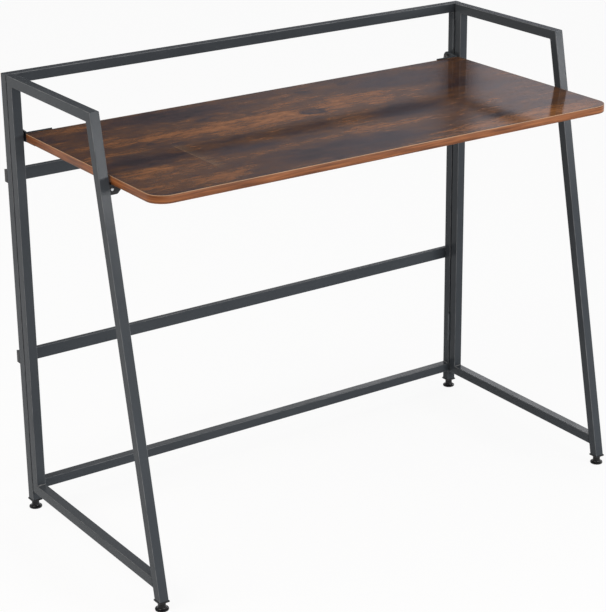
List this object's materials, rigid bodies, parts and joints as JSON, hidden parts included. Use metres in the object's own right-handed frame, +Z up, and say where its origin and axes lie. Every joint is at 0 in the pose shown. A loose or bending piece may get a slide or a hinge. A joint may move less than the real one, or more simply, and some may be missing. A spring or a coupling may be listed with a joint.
{
  "type": "folding desk",
  "caption": "Folding desk with a tubular back frame, two hinged side frames with leaning front legs, a wood-effect desktop on rear pivots and levelling feet.",
  "frame": {"origin": "on the floor, in the middle of the desk's overall width and depth", "axes": "+Z up, the open front with the leaning legs faces -Y, +X to the right seen from the front"},
  "size_m": [1.006, 0.5002, 0.833],
  "materials": {
    "frame_coat": "satin",
    "hinge_coat": "satin",
    "steel": "satin",
    "plastic": "matte",
    "board": "satin",
    "edge_band": "satin"
  },
  "bodies": {
    "back_frame": {"back_top_rail": "frame_coat", "back_bottom_rail": "frame_coat", "back_upper_rail": "frame_coat", "back_middle_rail": "frame_coat", "rail_end_caps": "plastic", "back_post_left": "frame_coat", "upper_left_fixed_leaf": "hinge_coat", "upper_left_hinge_pin": "steel", "lower_left_fixed_leaf": "hinge_coat", "lower_left_hinge_pin": "steel", "pivot_stud_left": "steel", "pivot_washer_left": "steel", "pivot_cap_nut_left": "steel", "back_left_plug": "plastic", "back_post_right": "frame_coat", "upper_right_fixed_leaf": "hinge_coat", "upper_right_hinge_pin": "steel", "lower_right_fixed_leaf": "hinge_coat", "lower_right_hinge_pin": "steel", "pivot_stud_right": "steel", "pivot_washer_right": "steel", "pivot_cap_nut_right": "steel", "back_right_plug": "plastic"},
    "left_side_frame": {"left_rear_post": "frame_coat", "left_top_rail": "frame_coat", "left_front_leg": "frame_coat", "left_bottom_rail": "frame_coat", "upper_left_moving_leaf": "hinge_coat", "lower_left_moving_leaf": "hinge_coat", "leg_support_left": "plastic", "support_tang_left": "frame_coat", "support_rivet_left": "steel", "front_left_plug": "plastic"},
    "right_side_frame": {"right_rear_post": "frame_coat", "right_top_rail": "frame_coat", "right_front_leg": "frame_coat", "right_bottom_rail": "frame_coat", "upper_right_moving_leaf": "hinge_coat", "lower_right_moving_leaf": "hinge_coat", "leg_support_right": "plastic", "support_tang_right": "frame_coat", "support_rivet_right": "steel", "front_right_plug": "plastic"},
    "desktop": {"desktop_board": "board", "desktop_edge_band": "edge_band", "desktop_bracket_left": "hinge_coat", "desktop_bracket_right": "hinge_coat", "desktop_bracket_screws": "steel"},
    "back_left_foot": {"back_left_foot": "plastic"},
    "back_right_foot": {"back_right_foot": "plastic"},
    "front_left_foot": {"front_left_foot": "plastic"},
    "front_right_foot": {"front_right_foot": "plastic"}
  },
  "joints": [
    {"name": "left_frame_swing", "type": "hinge", "parent": "back_frame", "child": "left_side_frame", "pos_m": [-0.4802, 0.22039, 0.455], "axis": [0, 0, -1], "range_deg": [0, 7]},
    {"name": "right_frame_swing", "type": "hinge", "parent": "back_frame", "child": "right_side_frame", "pos_m": [0.4802, 0.22039, 0.455], "axis": [0, 0, 1], "range_deg": [0, 7]},
    {"name": "desktop_lift", "type": "hinge", "parent": "back_frame", "child": "desktop", "pos_m": [0, 0.23109, 0.722], "axis": [-1, 0, 0], "range_deg": [0, 78]},
    {"name": "back_left_foot_turn", "type": "hinge", "parent": "back_frame", "child": "back_left_foot", "pos_m": [-0.491, 0.23109, 0], "axis": [0, 0, 1], "continuous": true},
    {"name": "back_right_foot_turn", "type": "hinge", "parent": "back_frame", "child": "back_right_foot", "pos_m": [0.491, 0.23109, 0], "axis": [0, 0, 1], "continuous": true},
    {"name": "front_left_foot_turn", "type": "hinge", "parent": "left_side_frame", "child": "front_left_foot", "pos_m": [-0.491, -0.23809, 0], "axis": [0, 0, 1], "continuous": true},
    {"name": "front_right_foot_turn", "type": "hinge", "parent": "right_side_frame", "child": "front_right_foot", "pos_m": [0.491, -0.23809, 0], "axis": [0, 0, 1], "continuous": true}
  ]
}
